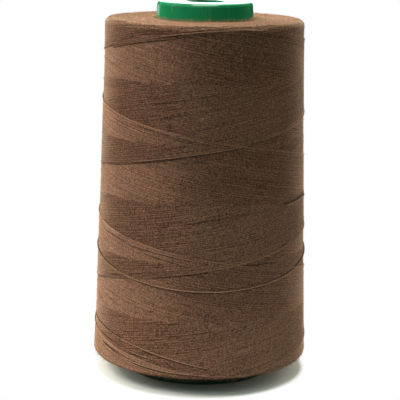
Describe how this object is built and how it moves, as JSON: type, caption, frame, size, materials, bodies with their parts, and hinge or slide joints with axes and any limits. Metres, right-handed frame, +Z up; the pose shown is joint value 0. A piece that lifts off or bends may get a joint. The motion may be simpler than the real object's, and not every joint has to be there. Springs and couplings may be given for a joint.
{
  "type": "thread cone",
  "caption": "Large cone of brown sewing thread: a hollow moulded plastic core with a cross-wound package of thread on it, loose end wrapped round the outside.",
  "frame": {"origin": "centre of the core's open base, on the surface it stands on", "axes": "+Z up along the cone's axis, from the open base to the nose; the front looks along -Y; +X to the right seen from the front"},
  "size_m": [0.0858, 0.0853, 0.1452],
  "materials": {
    "core_plastic": "glossy injection-moulded green plastic",
    "thread": "matte, slightly fuzzy brown spun thread"
  },
  "bodies": {
    "root": {"core_cone": "core_plastic", "inner_windings": "thread", "outer_turns": "thread", "thread_end": "thread"}
  },
  "joints": []
}
